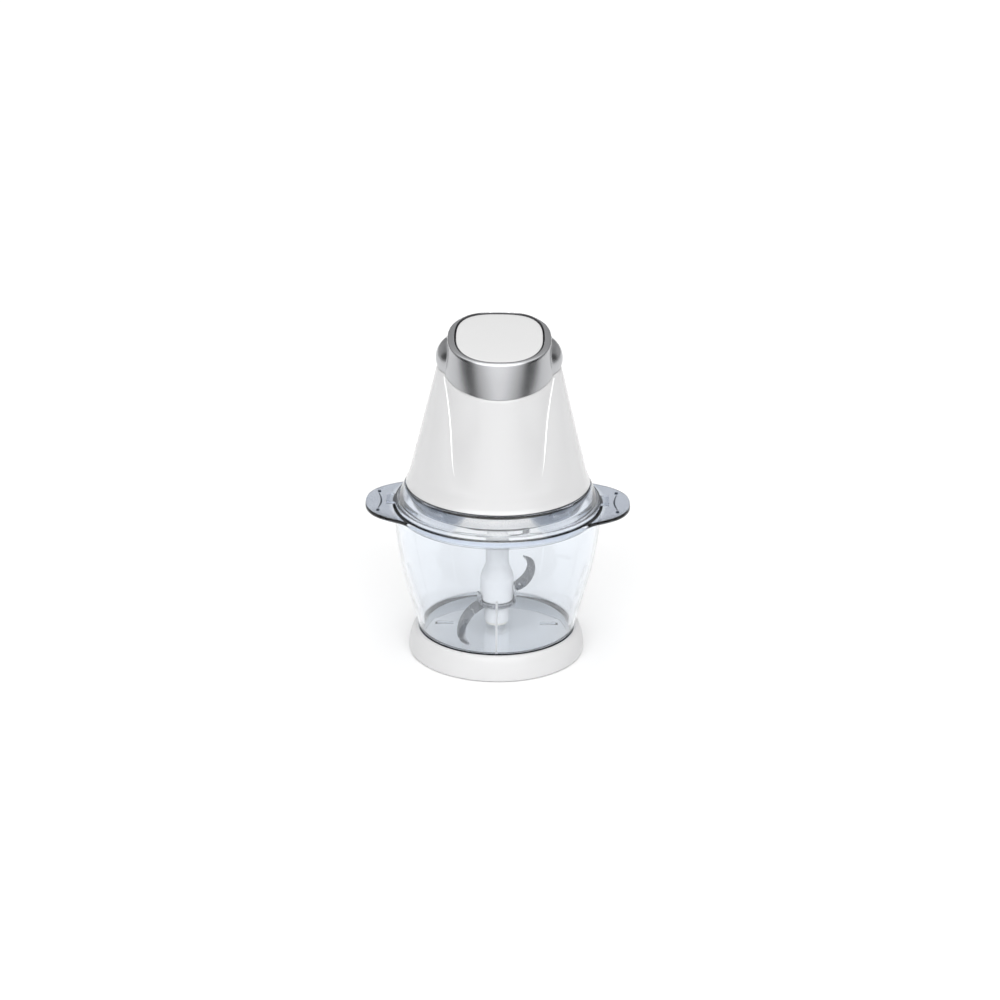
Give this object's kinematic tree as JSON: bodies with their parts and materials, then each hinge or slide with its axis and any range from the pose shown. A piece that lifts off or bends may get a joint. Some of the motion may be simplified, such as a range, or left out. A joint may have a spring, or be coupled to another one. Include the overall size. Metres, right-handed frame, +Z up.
{
  "type": "food processor",
  "caption": "Mini chopper with a clear two-handled bowl on a white foot, a clear stepped lid, a white cone-shaped motor unit with a top push button in a metal collar, and a two-winged blade.",
  "frame": {"origin": "on the surface the foot stands on, at the centre of the foot, which is also the blade's axis", "axes": "+Z up along the blade's axis, +X to the right handle seen from the front, -Y to the front, where the collar and button tilt down"},
  "size_m": [0.2, 0.161, 0.2571],
  "materials": {
    "clear_bowl": "clear polished plastic, faint blue tint",
    "clear_lid": "clear smoky blue-grey plastic",
    "foot_white": "fine matte",
    "grip_rubber": "soft matte",
    "gasket_grey": "soft matte",
    "seal_silicone": "soft satin",
    "white_gloss": "gloss",
    "cover_white": "semi-gloss",
    "button_white": "fine satin",
    "satin_metal": "satin",
    "hub_white": "semi-gloss",
    "blade_steel": "ground and polished",
    "bright_steel": "turned",
    "laminated_steel": "stamped",
    "copper_wire": "enamelled copper",
    "brass": "turned",
    "nylon": "moulded",
    "dark_plastic": "moulded",
    "carbon": "pressed graphite"
  },
  "bodies": {
    "foot": {"foot": "foot_white", "grip_ring": "grip_rubber"},
    "bowl": {"bowl": "clear_bowl", "bowl_spindle": "bright_steel"},
    "lid": {"lid": "clear_lid", "lid_seal": "seal_silicone"},
    "motor_unit": {"motor_housing": "white_gloss", "collar": "satin_metal", "bottom_cover": "cover_white", "cord_gland": "grip_rubber", "housing_screw_1": "bright_steel", "housing_screw_2": "bright_steel", "housing_screw_3": "bright_steel", "switch_plate": "cover_white", "switch_body": "dark_plastic", "button_spring": "bright_steel", "housing_gasket": "gasket_grey", "output_bush": "brass", "gear_case": "dark_plastic", "gear_cover": "dark_plastic", "ring_gear": "nylon", "stator_core": "laminated_steel", "field_coil_left": "copper_wire", "field_coil_right": "copper_wire", "lower_bracket": "laminated_steel", "upper_bracket": "laminated_steel", "lower_bearing": "brass", "upper_bearing": "brass", "brush_holder_front": "brass", "brush_holder_back": "brass", "carbon_brush_front": "carbon", "carbon_brush_back": "carbon", "suppression_capacitor": "dark_plastic"},
    "button": {"push_button": "button_white"},
    "plunger": {"switch_plunger": "nylon"},
    "armature": {"armature_shaft": "bright_steel", "armature_core": "laminated_steel", "lower_end_turns": "copper_wire", "upper_end_turns": "copper_wire", "commutator": "copper_wire", "cooling_fan": "dark_plastic", "sun_pinion": "bright_steel"},
    "output": {"planet_carrier": "nylon", "drive_socket": "dark_plastic"},
    "planet_1": {"planet_gear_1": "nylon"},
    "planet_2": {"planet_gear_2": "nylon"},
    "planet_3": {"planet_gear_3": "nylon"},
    "blade_bush": {"blade_bush": "nylon"},
    "blade": {"blade_hub": "hub_white", "lower_blade": "blade_steel", "upper_blade": "blade_steel"}
  },
  "joints": [
    {"name": "bowl_lift", "type": "slide", "parent": "foot", "child": "bowl", "axis": [0, 0, 1], "range_m": [0, 0.1]},
    {"name": "lid_lift", "type": "slide", "parent": "bowl", "child": "lid", "axis": [0, 0, 1], "range_m": [0, 0.12]},
    {"name": "motor_lift", "type": "slide", "parent": "lid", "child": "motor_unit", "axis": [0, 0, 1], "range_m": [0, 0.1]},
    {"name": "button_press", "type": "slide", "parent": "motor_unit", "child": "button", "axis": [0, 0, 1], "range_m": [-0.004, 0], "stiffness_N_per_m": 1500, "springref_m": 0.002, "deforming": ["button_spring"]},
    {"name": "plunger_press", "type": "slide", "parent": "motor_unit", "child": "plunger", "axis": [0, 0, 1], "range_m": [-0.004, 0]},
    {"name": "armature_spin", "type": "hinge", "parent": "motor_unit", "child": "armature", "pos_m": [0, 0, 0], "axis": [0, 0, 1], "continuous": true},
    {"name": "output_spin", "type": "hinge", "parent": "motor_unit", "child": "output", "pos_m": [0, 0, 0], "axis": [0, 0, 1], "continuous": true},
    {"name": "planet_1_spin", "type": "hinge", "parent": "output", "child": "planet_1", "pos_m": [0.012, 0, 0.137], "axis": [0, 0, 1], "continuous": true},
    {"name": "planet_2_spin", "type": "hinge", "parent": "output", "child": "planet_2", "pos_m": [-0.006, 0.01039, 0.137], "axis": [0, 0, 1], "continuous": true},
    {"name": "planet_3_spin", "type": "hinge", "parent": "output", "child": "planet_3", "pos_m": [-0.006, -0.01039, 0.137], "axis": [0, 0, 1], "continuous": true},
    {"name": "blade_lift", "type": "slide", "parent": "bowl", "child": "blade_bush", "axis": [0, 0, 1], "range_m": [0, 0.09]},
    {"name": "blade_spin", "type": "hinge", "parent": "blade_bush", "child": "blade", "pos_m": [0, 0, 0], "axis": [0, 0, 1], "continuous": true}
  ],
  "couplings": [
    {"joint": "plunger_press", "follows": "button_press", "ratio": 1},
    {"joint": "output_spin", "follows": "armature_spin", "ratio": 0.2},
    {"joint": "blade_spin", "follows": "armature_spin", "ratio": 0.2},
    {"joint": "blade_lift", "follows": "lid_lift", "ratio": 0.75},
    {"joint": "planet_1_spin", "follows": "armature_spin", "ratio": -0.53333},
    {"joint": "planet_2_spin", "follows": "armature_spin", "ratio": -0.53333},
    {"joint": "planet_3_spin", "follows": "armature_spin", "ratio": -0.53333}
  ]
}
